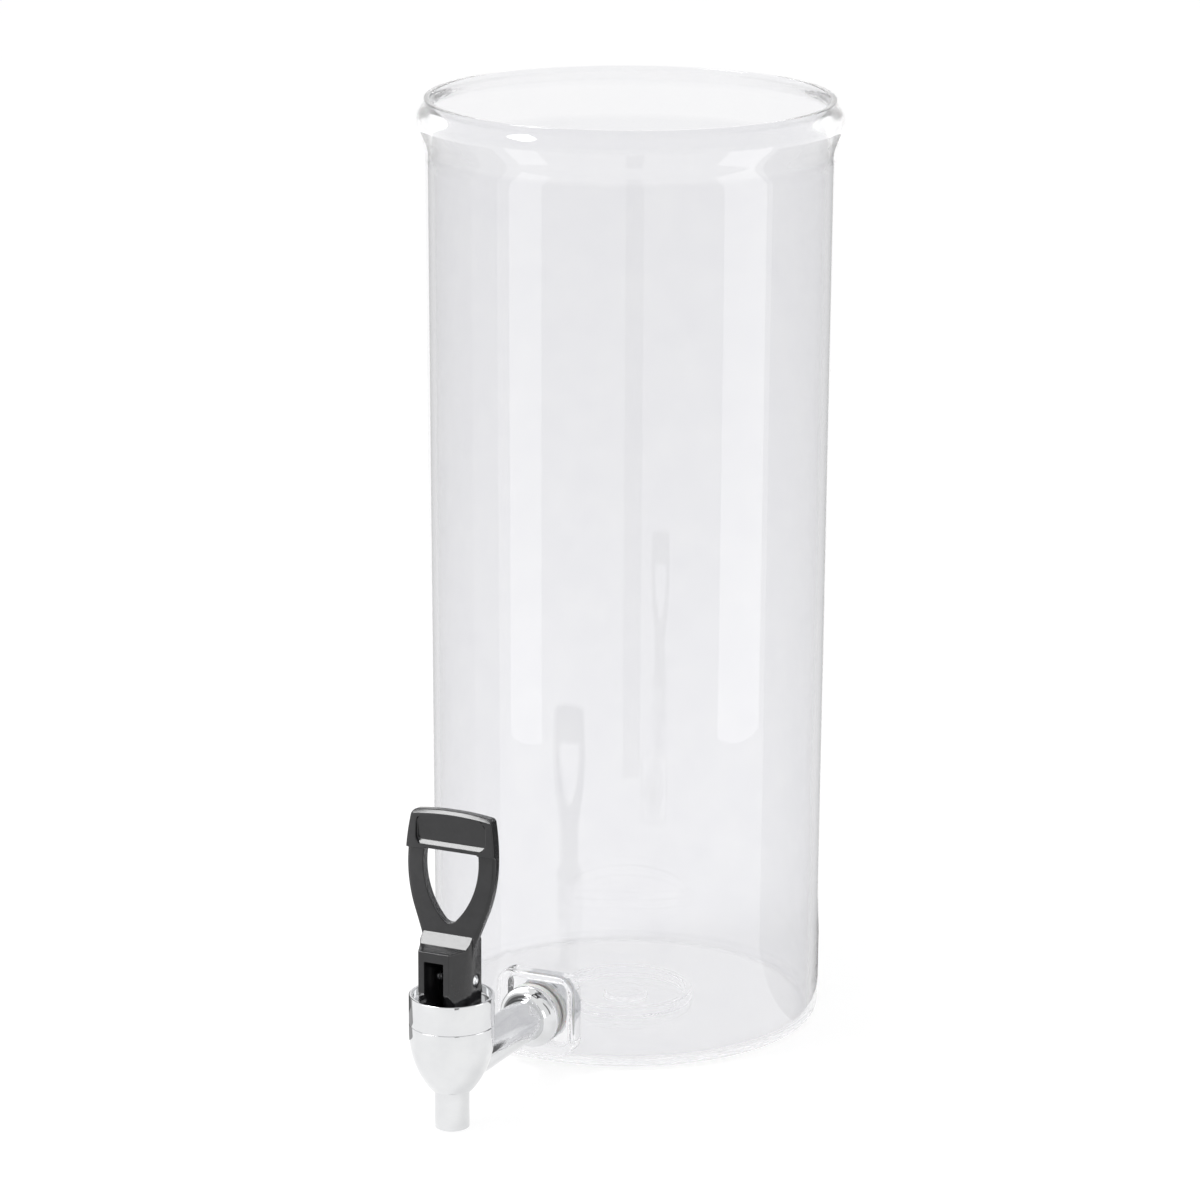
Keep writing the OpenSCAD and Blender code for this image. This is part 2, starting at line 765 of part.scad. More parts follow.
module shank_nut() {
    corner_r = nut_af / sqrt(3);
    bevel = 1.2;
    color(steel)
        at_tap()
            difference() {
                intersection() {
                    translate([0, nut_face, 0])
                        rotate([-90, 0, 0])
                            cylinder(r = corner_r, h = nut_h, $fn = 6);
                    about_shank()
                        polygon([
                            [0, nut_face], [corner_r + past, nut_face],
                            [corner_r + past, nut_face + nut_h - bevel], [nut_af / 2, nut_face + nut_h],
                            [0, nut_face + nut_h]]);
                }
                rotate([-90, 0, 0])
                    cylinder(r = thread_r + fixed_play, h = thread_end);
            }
}

vessel();
tap_body();
bonnet();
handle();
handle_pin();
valve_stem();
seat_cup();
spring();
outer_gasket();
inner_gasket();
flat_washer();
shank_nut();
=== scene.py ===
from math import acos, asin, cos, pi, radians, sin, sqrt, tan

import bpy
from mathutils import Matrix, Vector


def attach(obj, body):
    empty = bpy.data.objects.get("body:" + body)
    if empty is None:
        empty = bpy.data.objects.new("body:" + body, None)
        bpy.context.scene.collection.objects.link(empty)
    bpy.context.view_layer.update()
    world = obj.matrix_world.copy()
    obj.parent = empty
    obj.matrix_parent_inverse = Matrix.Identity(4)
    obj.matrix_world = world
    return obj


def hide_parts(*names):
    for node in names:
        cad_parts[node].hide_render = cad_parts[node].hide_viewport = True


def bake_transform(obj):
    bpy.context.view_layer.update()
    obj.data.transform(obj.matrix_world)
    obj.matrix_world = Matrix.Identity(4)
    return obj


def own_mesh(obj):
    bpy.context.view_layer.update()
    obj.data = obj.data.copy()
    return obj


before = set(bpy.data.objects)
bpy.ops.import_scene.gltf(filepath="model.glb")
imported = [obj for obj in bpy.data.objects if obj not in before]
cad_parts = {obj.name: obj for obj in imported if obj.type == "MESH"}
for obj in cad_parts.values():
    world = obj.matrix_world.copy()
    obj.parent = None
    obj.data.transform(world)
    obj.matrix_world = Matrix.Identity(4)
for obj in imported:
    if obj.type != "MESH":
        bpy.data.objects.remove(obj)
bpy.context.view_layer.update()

MM = 0.001

# Vessel, in millimetres
VESSEL_H = 410
BASE_R = 86
TOP_R = 88
WALL = 3.6
FLOOR = 3.8
BASE_EDGE_R = 5
FLOOR_FILLET_R = 3
RIM_H = 26
RIM_OUT = 3.7
RIM_CROWN_H = 9
LIP_R = 88.5
LIP_T = 2.6
LIP_EDGE_R = 0.6
LIP_TAPER_H = 12
RIM_FOOT_Z = VESSEL_H - RIM_H
RIM_WIDE_Z = VESSEL_H - RIM_CROWN_H
RING_R = 29.8
RING_T = 3
RING_H = 4.2
BOSS_R = 9.5
BOSS_H = 2.4

# Tap seat
SEAT_W = 36.6
SEAT_H = 36
SEAT_CORNER_R = 7
SEAT_EDGE_R = 1.6
SEAT_RISE = 6.8
SEAT_WALL = 5
SEAT_SIDE = 3.6
TAP_Z = 25
HOLE_PLAY = 0.4

# Radial play of fixed pieces on each other, and of the lever on its pin
FIXED_PLAY = 0.05


def wall_r(z):
    return BASE_R + (TOP_R - BASE_R) * z / RIM_FOOT_Z


SEAT_FACE = wall_r(TAP_Z) + SEAT_RISE

# Tap: distances along the shank from the tap's axis, heights above the shank's axis
TAP_REACH = 77
TAP_Y = SEAT_FACE + TAP_REACH
SPOUT_END = -24.8
SPOUT_R = 7.4
SPOUT_BORE_R = 5
BOWL_FOOT = -7.8
BOWL_FOOT_R = 9.1
BOWL_R = 17.9
SEAM = 21
BOWL_SHOULDER = 16.9
COLLAR_TOP = 33.7
CUP_FLOOR = 29.6
CUP_R = 16.6
WEB = 25.6
VALVE_SEAT = -5.8
CHAMBER_R = 11.5
CHAMBER_FOOT_R = 7
SOCKET_R = 14.05
SKIRT_FOOT = 14.9
LEDGE = 12.9
STEM_R = 4
STEM_GUIDE_R = 4.06
SHANK_R = 9
SHANK_BORE_R = 5.2
THREAD_R = 7.8
FLANGE_R = 13.6
FLANGE_RIM = 2.2
FLANGE_FACE = 74
SEAT_BACK = 82
WASHER_FACE = 84.5
NUT_FACE = 86
NUT_H = 8
NUT_AF = 24
THREAD_END = 96
WASHER_R = 13
SEAM_ROUND = 0.35
BOWL_FILLET = 0.6
CHAMBER_CONE_H = 8.2
THREAD_DEPTH = 0.75
THREAD_PITCH = 1.5

# Valve: heights above the shank's axis
STEM_HEAD_RISE = 4.6
STEM_FOOT = -4
STEM_FOOT_TOP = -2.2
STEM_FOOT_R = 4.7
STEM_NECK_R = 3
STEM_SHOULDER = -0.5
CUP_FLANGE_R = 13.85

# Lever
PIN_Z = 41.1
PIN_R = 2.25
BLOCK_W = 23.2
NOSE_W = 14.2
NOSE_Y = 16.4
TAIL_Y = 10.5
BLOCK_FOOT = 29.9
BLOCK_TOP = 56.3
SLOT_W = 8.8
SLOT_TOP = 51.9
SLOT_BACK = 6.5
HEEL_Y = 10.6
HEEL_RISE = 8.6
SHELF_RISE = 4.6
SHELF_RUN = 4.8
GRIP_TOP = 112.6
GRIP_W = 40.8
GRIP_TOP_W = 37.2
GRIP_WIDE = 90.8
GRIP_FLANK_R = 61
GRIP_FLANK_SLOPE = 21
GRIP_LEAN = 4.5
GRIP_CROWN = 1.1
GRIP_CORNER_R = 2.2
GRIP_T = 4.4
GRIP_FRONT = 4.5
BAR_PROUD = 1.3
BAR_FOOT = 95.2
HOLE_TOP = 95.7
HOLE_W = 25.6
HOLE_H = 30.8
HOLE_WIDE_DROP = 5.1
HOLE_TIP_R = 4.2
BROW_BEVEL = 1.7
BROW_LAND = 0.4
THUMB_W = 32
THUMB_DEPTH = 1.9
THUMB_LIP = 1.5
THUMB_END_R = 4
FLANK_FRONT = 5.6
FLANK_BACK = 4.6
NECK_SINK = 2
CREST_SINK = 0.8
LEG_CHAMFER = 1.1
EDGE_ROUND = 0.4
SMALL_EDGE = 0.14


# Drawing aids

def arc(cx, cy, r, start, end, steps):
    """Points along an arc, in degrees."""
    turn = [radians(start + (end - start) * i / steps) for i in range(steps + 1)]
    return [(cx + r * cos(a), cy + r * sin(a)) for a in turn]


def swell(r0, r1, z0, z1, steps):
    """A smooth step from one radius to another, without its first point."""
    share = [i / steps for i in range(1, steps + 1)]
    return [(r0 + (r1 - r0) * (1 - cos(pi * s)) / 2, z0 + (z1 - z0) * s) for s in share]


def at_tap(x, y, z):
    """A point measured from the tap's axis and the shank's height, in the part's frame."""
    return Vector((x, y - TAP_Y, z + TAP_Z))


def deselect():
    if bpy.context.mode != "OBJECT":
        bpy.ops.object.mode_set(mode="OBJECT")
    bpy.ops.object.select_all(action="DESELECT")


def work_on(piece):
    deselect()
    piece.select_set(True)
    bpy.context.view_layer.objects.active = piece


def pick(piece, kind, wanted):
    """Selects in edit mode only the vertices, edges or faces that are wanted."""
    bpy.ops.object.mode_set(mode="EDIT")
    bpy.ops.mesh.select_mode(type=kind)
    bpy.ops.mesh.select_all(action="DESELECT")
    bpy.ops.object.mode_set(mode="OBJECT")
    mesh = piece.data
    parts = {"VERT": mesh.vertices, "EDGE": mesh.edges, "FACE": mesh.polygons}[kind]
    for part in parts:
        part.select = wanted(part)
    bpy.ops.object.mode_set(mode="EDIT")


def line(name, points):
    """Draws a line by extruding a corner from point to point, in millimetres. Stays in edit mode."""
    deselect()
    bpy.ops.mesh.primitive_plane_add(size=MM, location=(0, 0, 0))
    piece = bpy.context.object
    piece.name = piece.data.name = name
    bpy.ops.object.mode_set(mode="EDIT")
    bpy.ops.mesh.select_mode(type="VERT")
    bpy.ops.mesh.select_all(action="SELECT")
    bpy.ops.mesh.merge(type="CENTER")
    points = [Vector(p) * MM for p in points]
    bpy.ops.transform.translate(value=points[0])
    for here, there in zip(points, points[1:]):
        bpy.ops.mesh.extrude_vertices_move(TRANSFORM_OT_translate={"value": there - here})
    return piece


def tidy_faces(piece, reach=1e-6):
    """Merges doubles and turns all faces outwards."""
    work_on(piece)
    bpy.ops.object.mode_set(mode="EDIT")
    bpy.ops.mesh.select_all(action="SELECT")
    bpy.ops.mesh.remove_doubles(threshold=reach)
    bpy.ops.mesh.normals_make_consistent(inside=False)
    bpy.ops.object.mode_set(mode="OBJECT")
    return piece


def turned(name, profile, centre, axis, out, steps=96, closed=True):
    """Spins a profile of (radius, height) points about an axis."""
    centre, axis, out = Vector(centre), Vector(axis), Vector(out)
    piece = line(name, [centre + out * r + axis * h for r, h in profile])
    if closed:
        last = len(profile) - 1
        pick(piece, "VERT", lambda v: v.index in (0, last))
        bpy.ops.mesh.edge_face_add()
    bpy.ops.mesh.select_all(action="SELECT")
    bpy.ops.mesh.spin(steps=steps, angle=2 * pi, center=centre * MM, axis=axis)
    return tidy_faces(piece)


def turned_on_tap(name, profile, steps=96, closed=True):
    return turned(name, profile, at_tap(0, 0, 0), (0, 0, 1), (1, 0, 0), steps, closed)


def turned_on_shank(name, profile, steps=96, closed=True):
    return turned(name, profile, at_tap(0, 0, 0), (0, 1, 0), (0, 0, 1), steps, closed)


def cut_out(name, outline, along):
    """Draws an outline, fills it and extrudes it along a direction, in millimetres."""
    piece = line(name, outline)
    bpy.ops.mesh.select_all(action="SELECT")
    bpy.ops.mesh.edge_face_add()
    bpy.ops.mesh.extrude_region_move(TRANSFORM_OT_translate={"value": Vector(along) * MM})
    return tidy_faces(piece)


def modify(piece, kind, **settings):
    """Adds a modifier and applies it."""
    work_on(piece)
    added = piece.modifiers.new(kind.lower(), kind)
    for key, value in settings.items():
        setattr(added, key, value)
    bpy.ops.object.modifier_apply(modifier=added.name)
    return piece


def combine(piece, tool, operation):
    modify(piece, "BOOLEAN", object=tool, operation=operation, solver="EXACT")
    bpy.data.objects.remove(tool)
    return piece


def smooth(piece, angle=30):
    work_on(piece)
    bpy.ops.object.shade_smooth_by_angle(angle=radians(angle))
    return piece


def mirrored(right):
    return right + [(-x, y) for x, y in reversed(right)]


# Materials

class Finish:
    """A node material with short ways to add and join its nodes."""

    def __init__(self, name):
        self.material = bpy.data.materials.new(name)
        self.material.use_nodes = True
        self.tree = self.material.node_tree
        self.shader = self.tree.nodes["Principled BSDF"]
        self.place = self.add("ShaderNodeTexCoord")

    def add(self, kind, values=None, **settings):
        node = self.tree.nodes.new(kind)
        for key, value in settings.items():
            setattr(node, key, value)
        for key, value in (values or {}).items():
            node.inputs[key].default_value = value
        return node

    def join(self, source, output, target, socket):
        self.tree.links.new(source.outputs[output], target.inputs[socket])

    def set(self, **values):
        for key, value in values.items():
            self.shader.inputs[key.replace("_", " ")].default_value = value

    def stretched(self, scale):
        """Object coordinates with their own scale along each axis."""
        mapping = self.add("ShaderNodeMapping", {"Scale": scale})
        self.join(self.place, "Object", mapping, "Vector")
        return mapping

    def noise(self, source, output, scale, detail=3.0, rough=0.5):
        node = self.add("ShaderNodeTexNoise", {"Scale": scale, "Detail": detail, "Roughness": rough})
        self.join(source, output, node, "Vector")
        return node

    def spread(self, node, output, low, high, start=0.3, end=0.7):
        """Maps a texture's values to a range."""
        ranged = self.add(
            "ShaderNodeMapRange",
            {"From Min": start, "From Max": end, "To Min": low, "To Max": high})
        self.join(node, output, ranged, "Value")
        return ranged

    def colours(self, node, output, first, second, start=0.3, end=0.7):
        ramp = self.add("ShaderNodeValToRGB")
        ramp.color_ramp.elements[0].position = start
        ramp.color_ramp.elements[0].color = (*first, 1)
        ramp.color_ramp.elements[1].position = end
        ramp.color_ramp.elements[1].color = (*second, 1)
        self.join(node, output, ramp, "Fac")
        self.join(ramp, "Color", self.shader, "Base Color")
        return ramp

    def bump(self, node, output, strength, distance):
        raised = self.add("ShaderNodeBump", {"Strength": strength, "Distance": distance})
        self.join(node, output, raised, "Height")
        self.join(raised, "Normal", self.shader, "Normal")
        return raised


def clear_plastic():
    """Clear moulded plastic: a grey wall, clearer in floor, seat and bead, with flow waves and fine wear."""
    finish = Finish("clear_plastic")
    finish.set(Transmission_Weight=1.0)
    flow = finish.noise(finish.stretched((1, 1, 0.18)), "Vector", 26.0, 2.0)
    finish.bump(flow, "Fac", 0.25, 0.0004)
    haze = finish.noise(finish.place, "Object", 60.0, 4.0, 0.6)
    tint = finish.colours(haze, "Fac", (0.872, 0.872, 0.887), (0.892, 0.892, 0.902))
    height = finish.add("ShaderNodeSeparateXYZ")
    finish.join(finish.place, "Object", height, "Vector")
    reach = finish.add("ShaderNodeVectorMath", operation="LENGTH")
    finish.join(finish.stretched((1, 1, 0)), "Vector", reach, 0)
    floor_share = finish.spread(reach, "Value", 1.0, 0.0, 0.076, 0.08)
    proud = finish.spread(reach, "Value", 0.0, 1.0, 0.0881, 0.0886)
    under_lip = finish.spread(height, "Z", 1.0, 0.0, 0.4, 0.403)
    proud_share = finish.add("ShaderNodeMath", operation="MULTIPLY")
    finish.join(proud, "Result", proud_share, 0)
    finish.join(under_lip, "Result", proud_share, 1)
    both = finish.add("ShaderNodeMath", operation="ADD")
    finish.join(floor_share, "Result", both, 0)
    finish.join(proud_share, "Value", both, 1)
    clearer = finish.add("ShaderNodeMix", {"B": (0.985, 0.985, 0.99, 1)}, data_type="RGBA")
    finish.join(both, "Value", clearer, "Factor")
    finish.join(tint, "Color", clearer, "A")
    finish.join(clearer, "Result", finish.shader, "Base Color")
    bend = finish.spread(height, "Z", 1.49, 1.16, 0.382, 0.394)
    finish.join(bend, "Result", finish.shader, "IOR")
    skin = finish.spread(height, "Z", 0.0, 1.0, 0.382, 0.394)
    finish.join(skin, "Result", finish.shader, "Coat Weight")
    wear = finish.noise(finish.stretched((1, 1, 0.3)), "Vector", 420.0, 4.0, 0.65)
    ranged = finish.spread(wear, "Fac", 0.0, 0.03)
    finish.join(ranged, "Result", finish.shader, "Roughness")
    return finish.material


def chrome():
    """Bright plating with slight waviness and faint rub marks."""
    finish = Finish("chrome_plate")
    finish.set(Metallic=1.0)
    clouds = finish.noise(finish.place, "Object", 90.0, 3.0)
    finish.colours(clouds, "Fac", (0.68, 0.685, 0.695), (0.73, 0.735, 0.74))
    rubs = finish.noise(finish.stretched((1, 1, 6)), "Vector", 240.0, 4.0, 0.6)
    ranged = finish.spread(rubs, "Fac", 0.03, 0.09)
    finish.join(ranged, "Result", finish.shader, "Roughness")
    waves = finish.noise(finish.place, "Object", 70.0, 1.0)
    finish.bump(waves, "Fac", 0.06, 0.0003)
    return finish.material


def black_plastic():
    """Semi-gloss black moulding with a fine grain and small handling marks."""
    finish = Finish("black_plastic")
    finish.set(IOR=1.5)
    tone = finish.noise(finish.place, "Object", 140.0, 4.0)
    finish.colours(tone, "Fac", (0.016, 0.016, 0.018), (0.026, 0.026, 0.028))
    marks = finish.noise(finish.place, "Object", 600.0, 5.0, 0.7)
    ranged = finish.spread(marks, "Fac", 0.1, 0.18)
    finish.join(ranged, "Result", finish.shader, "Roughness")
    grain = finish.noise(finish.place, "Object", 2600.0, 2.0)
    finish.bump(grain, "Fac", 0.02, 0.0001)
    return finish.material


def steel(name, low, high):
    """Turned steel with fine tool marks round the shank's axis."""
    finish = Finish(name)
    finish.set(Metallic=1.0)
    tone = finish.noise(finish.place, "Object", 300.0, 3.0)
    finish.colours(tone, "Fac", low, high)
    lines = finish.noise(finish.stretched((1, 12, 1)), "Vector", 500.0, 3.0)
    ranged = finish.spread(lines, "Fac", 0.16, 0.36)
    finish.join(ranged, "Result", finish.shader, "Roughness")
    finish.bump(lines, "Fac", 0.1, 0.0001)
    return finish.material


def silicone(name, low, high):
    """Soft satin silicone with a dusty tone."""
    finish = Finish(name)
    finish.set(Subsurface_Weight=0.1, Subsurface_Scale=0.002, IOR=1.41)
    tone = finish.noise(finish.place, "Object", 250.0, 4.0)
    finish.colours(tone, "Fac", low, high)
    ranged = finish.spread(tone, "Fac", 0.45, 0.6)
    finish.join(ranged, "Result", finish.shader, "Roughness")
    grain = finish.noise(finish.place, "Object", 1800.0, 2.0)
    finish.bump(grain, "Fac", 0.08, 0.0001)
    return finish.material


def give(piece, material, body, slot, *nodes):
    """Finishes a piece: its material, its body if it moves as one, and its solids. The slot argument is not
    used.
    """
    piece.data.materials.clear()
    piece.data.materials.append(material)
    if body:
        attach(piece, body)
    if nodes:
        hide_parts(*nodes)
    return piece


# Pieces

def vessel_shell():
    """The clear vessel: a spun wall with rim and floor, and the hollow square seat for the tap."""
    inside_top = TOP_R - WALL
    fillet_z = FLOOR + FLOOR_FILLET_R
    inside_foot = wall_r(fillet_z) - WALL
    lip_foot = VESSEL_H - LIP_TAPER_H
    lip_inside = LIP_R - LIP_T
    edge_top = VESSEL_H - LIP_EDGE_R
    ring_in = RING_R - RING_T
    soft = 0.5
    outside = (
        [(0, 0), (40, 0)]
        + arc(wall_r(BASE_EDGE_R) - BASE_EDGE_R, BASE_EDGE_R, BASE_EDGE_R, -90, 0, 12)
        + [(wall_r(z), z) for z in (60, 130, 200, 270, 340)]
        + [(TOP_R, RIM_FOOT_Z)]
        + swell(TOP_R, TOP_R + RIM_OUT, RIM_FOOT_Z, RIM_WIDE_Z, 20)
        + swell(TOP_R + RIM_OUT, LIP_R, RIM_WIDE_Z, edge_top, 14)
        + arc(LIP_R - LIP_EDGE_R, edge_top, LIP_EDGE_R, 15, 90, 5))
    inside = (
        arc(lip_inside + LIP_EDGE_R, edge_top, LIP_EDGE_R, 90, 165, 5)
        + list(reversed(swell(inside_top, lip_inside, lip_foot, edge_top, 12)))
        + [(inside_top, lip_foot)]
        + [(wall_r(z) - WALL, z) for z in (340, 270, 200, 130, 60)]
        + arc(inside_foot - FLOOR_FILLET_R, fillet_z, FLOOR_FILLET_R, 0, -90, 8))
    floor = (
        [(RING_R + soft, FLOOR)]
        + arc(RING_R - soft, FLOOR + RING_H - soft, soft, 0, 90, 4)
        + arc(ring_in + soft, FLOOR + RING_H - soft, soft, 90, 180, 4)
        + [(ring_in - soft, FLOOR), (BOSS_R + soft, FLOOR)]
        + arc(BOSS_R - soft, FLOOR + BOSS_H - soft, soft, 0, 90, 4)
        + [(0, FLOOR + BOSS_H)])
    shell = turned("vessel_shell", outside + inside + floor, (0, 0, 0), (0, 0, 1), (1, 0, 0), 160, False)
    seat = seat_form("seat", SEAT_W, SEAT_H, SEAT_CORNER_R, SEAT_FACE, SEAT_EDGE_R)
    core = turned(
        "core", [(0, 0), (inside_foot, 0), (wall_r(60) - WALL, 60), (0, 60)],
        (0, 0, 0), (0, 0, 1), (1, 0, 0), 160, False)
    combine(seat, core, "DIFFERENCE")
    combine(shell, seat, "UNION")
    pocket = seat_form(
        "pocket", SEAT_W - 2 * SEAT_SIDE, SEAT_H - 2 * SEAT_SIDE, SEAT_CORNER_R - SEAT_SIDE,
        SEAT_FACE - SEAT_WALL, 0.8)
    combine(shell, pocket, "DIFFERENCE")
    bore = turned_on_shank(
        "bore", [(0, 60), (THREAD_R + HOLE_PLAY, 60), (THREAD_R + HOLE_PLAY, 95), (0, 95)], 96, False)
    combine(shell, bore, "DIFFERENCE")
    return smooth(shell, 28)


def seat_form(name, width, height, corner, face, edge):
    """A block with rounded corners whose front face lies at a distance from the vessel's axis."""
    depth = 40
    deselect()
    bpy.ops.mesh.primitive_cube_add(
        size=MM, location=Vector((0, depth / 2 - face, TAP_Z)) * MM, scale=(width, depth, height))
    block = bpy.context.object
    block.name = block.data.name = name
    bpy.ops.object.transform_apply(location=True, rotation=True, scale=True)
    places = block.data.vertices

    def runs_back(e):
        first, second = (places[i].co for i in e.vertices)
        return abs(first.y - second.y) > depth * MM / 2

    pick(block, "EDGE", runs_back)
    bpy.ops.mesh.bevel(offset=corner * MM, segments=8, affect="EDGES")
    bpy.ops.object.mode_set(mode="OBJECT")
    front = -face * MM + 1e-6
    places = block.data.vertices
    pick(block, "EDGE", lambda e: all(places[i].co.y < front for i in e.vertices))
    bpy.ops.mesh.bevel(offset=edge * MM, segments=5, affect="EDGES")
    return tidy_faces(block)


def tap_bowl():
    """The chrome bowl with its spout, the valve chamber inside it and the shank with its flange."""
    drop = BOWL_SHOULDER - BOWL_FOOT
    inset = BOWL_R - BOWL_FOOT_R
    curve_r = (drop * drop + inset * inset) / (2 * inset)
    round_r = 0.4
    bowl = turned_on_tap(
        "tap_bowl",
        [(SPOUT_BORE_R, SPOUT_END)]
        + arc(SPOUT_R - round_r, SPOUT_END + round_r, round_r, -90, 0, 4)
        + [(SPOUT_R, BOWL_FOOT - BOWL_FILLET)]
        + arc(SPOUT_R + BOWL_FILLET, BOWL_FOOT - BOWL_FILLET, BOWL_FILLET, 180, 90, 4)
        + arc(BOWL_R - curve_r, BOWL_SHOULDER, curve_r, -asin(drop / curve_r) * 180 / pi, 0, 28)
        + arc(BOWL_R - SEAM_ROUND, SEAM - SEAM_ROUND, SEAM_ROUND, 0, 90, 4)
        + [(SOCKET_R, SEAM), (SOCKET_R, LEDGE), (CHAMBER_R, LEDGE),
           (CHAMBER_R, VALVE_SEAT + CHAMBER_CONE_H), (CHAMBER_FOOT_R, VALVE_SEAT),
           (SPOUT_BORE_R, VALVE_SEAT)], 128)
    flare_r = FLANGE_R - SHANK_R
    flare_z = FLANGE_FACE - FLANGE_RIM - flare_r
    rim_r = 0.5
    shank = turned_on_shank(
        "shank",
        [(0, 12), (SHANK_R, 12)]
        + arc(FLANGE_R, flare_z, flare_r, 180, 96, 12)
        + arc(FLANGE_R - rim_r, FLANGE_FACE - FLANGE_RIM + rim_r, rim_r, -70, 0, 4)
        + arc(FLANGE_R - rim_r, FLANGE_FACE - rim_r, rim_r, 0, 90, 4)
        + [(THREAD_R - 0.7, FLANGE_FACE), (THREAD_R - 0.7, THREAD_END), (0, THREAD_END)], 96, False)
    chamber = turned_on_tap(
        "chamber", [(0, -5), (CHAMBER_R + 0.4, -5), (CHAMBER_R + 0.4, 12), (0, 12)], 96, False)
    combine(shank, chamber, "DIFFERENCE")
    combine(bowl, shank, "UNION")
    bore = turned_on_shank(
        "bore", [(0, 0), (SHANK_BORE_R, 0), (SHANK_BORE_R, THREAD_END + 1), (0, THREAD_END + 1)], 64, False)
    combine(bowl, bore, "DIFFERENCE")
    return smooth(bowl, 28)


def bonnet_collar():
    """The chrome collar over the bowl, with the cup for the lever and the guide for the stem."""
    edge = 0.4
    collar = turned_on_tap(
        "bonnet_collar",
        [(STEM_GUIDE_R, WEB), (CHAMBER_R, WEB), (CHAMBER_R, SKIRT_FOOT), (SOCKET_R - FIXED_PLAY, SKIRT_FOOT),
         (SOCKET_R - FIXED_PLAY, SEAM)]
        + arc(BOWL_R - SEAM_ROUND, SEAM + SEAM_ROUND, SEAM_ROUND, -90, 0, 4)
        + arc(BOWL_R - edge, COLLAR_TOP - edge, edge, 0, 90, 4)
        + arc(CUP_R + edge, COLLAR_TOP - edge, edge, 90, 180, 4)
        + arc(CUP_R - 1, CUP_FLOOR + 1, 1, 0, -90, 5)
        + [(STEM_GUIDE_R, CUP_FLOOR)], 128)
    return smooth(collar, 28)


def leaning(x, y, z):
    """A point of the upright grip, leaned back about the pin."""
    lean = radians(GRIP_LEAN)
    up = z - PIN_Z
    return at_tap(x, y * cos(lean) + up * sin(lean), PIN_Z - y * sin(lean) + up * cos(lean))


def grip_outline():
    """Right half of the grip's outline from its neck to the middle of its top."""
    half, top_half, neck = GRIP_W / 2, GRIP_TOP_W / 2, BLOCK_W / 2
    slope = radians(GRIP_FLANK_SLOPE)
    flank_x = half - GRIP_FLANK_R * (1 - cos(slope))
    flank_z = GRIP_WIDE - GRIP_FLANK_R * sin(slope)
    neck_z = flank_z - (flank_x - neck) / tan(slope)
    corner_x = top_half - GRIP_CORNER_R
    corner_z = GRIP_TOP - GRIP_CROWN - GRIP_CORNER_R
    brow_h, brow_in = corner_z - GRIP_WIDE, half - top_half
    brow_r = (brow_h ** 2 + brow_in ** 2) / (2 * brow_in)
    brow_turn = asin(brow_h / brow_r) * 180 / pi
    return (
        [(neck - NECK_SINK, neck_z - NECK_SINK / tan(slope))]
        + arc(half - GRIP_FLANK_R, GRIP_WIDE, GRIP_FLANK_R, -GRIP_FLANK_SLOPE, 0, 20)
        + arc(half - brow_r, GRIP_WIDE, brow_r, 0, brow_turn, 10)[1:]
        + arc(corner_x, corner_z, GRIP_CORNER_R, 0, 90, 8)[1:]
        + [(corner_x * u, GRIP_TOP - GRIP_CROWN * u * u) for u in (0.8, 0.6, 0.4, 0.2)])


def hole_outline():
    """Right half of the finger hole: a long arc that runs into a round tip."""
    half = HOLE_W / 2
    tip_drop = HOLE_H - HOLE_WIDE_DROP - HOLE_TIP_R
    side_r = (tip_drop ** 2 + half ** 2 - HOLE_TIP_R ** 2) / (2 * (half - HOLE_TIP_R))
    wide = HOLE_TOP - HOLE_WIDE_DROP
    tip_turn = acos((side_r - half) / (side_r - HOLE_TIP_R)) * 180 / pi
    return (
        arc(half - side_r, wide, side_r, asin(HOLE_WIDE_DROP / side_r) * 180 / pi, -tip_turn, 28)
        + arc(0, wide - tip_drop, HOLE_TIP_R, -tip_turn, -90, 6)[1:-1])


def grip_slab(name, outline, back, front):
    """Extrudes a front view of the grip from its back to its front, leaned as the grip is."""
    along = leaning(0, -front, PIN_Z) - leaning(0, -back, PIN_Z)
    return cut_out(name, [leaning(x, -back, z) for x, z in outline], along)


def chamfer_legs(slab, front, width):
    """Bevels the outer edges of the legs' front face, below the crossbar."""
    forward = leaning(0, -1, PIN_Z) - leaning(0, 0, PIN_Z)
    upward = leaning(0, 0, PIN_Z + 1) - leaning(0, 0, PIN_Z)
    level = leaning(0, -front, PIN_Z).dot(forward) * MM
    foot = leaning(0, 0, BAR_FOOT).dot(upward) * MM - 1e-6
    places = slab.data.vertices
    work_on(slab)

    def outer(e):
        ends = [places[i].co for i in e.vertices]
        flush = all(abs(end.dot(forward) - level) < 1e-6 for end in ends)
        return flush and any(end.dot(upward) < foot for end in ends)

    pick(slab, "EDGE", outer)
    bpy.ops.mesh.bevel(offset=width * MM, segments=1, affect="EDGES")
    return tidy_faces(slab)


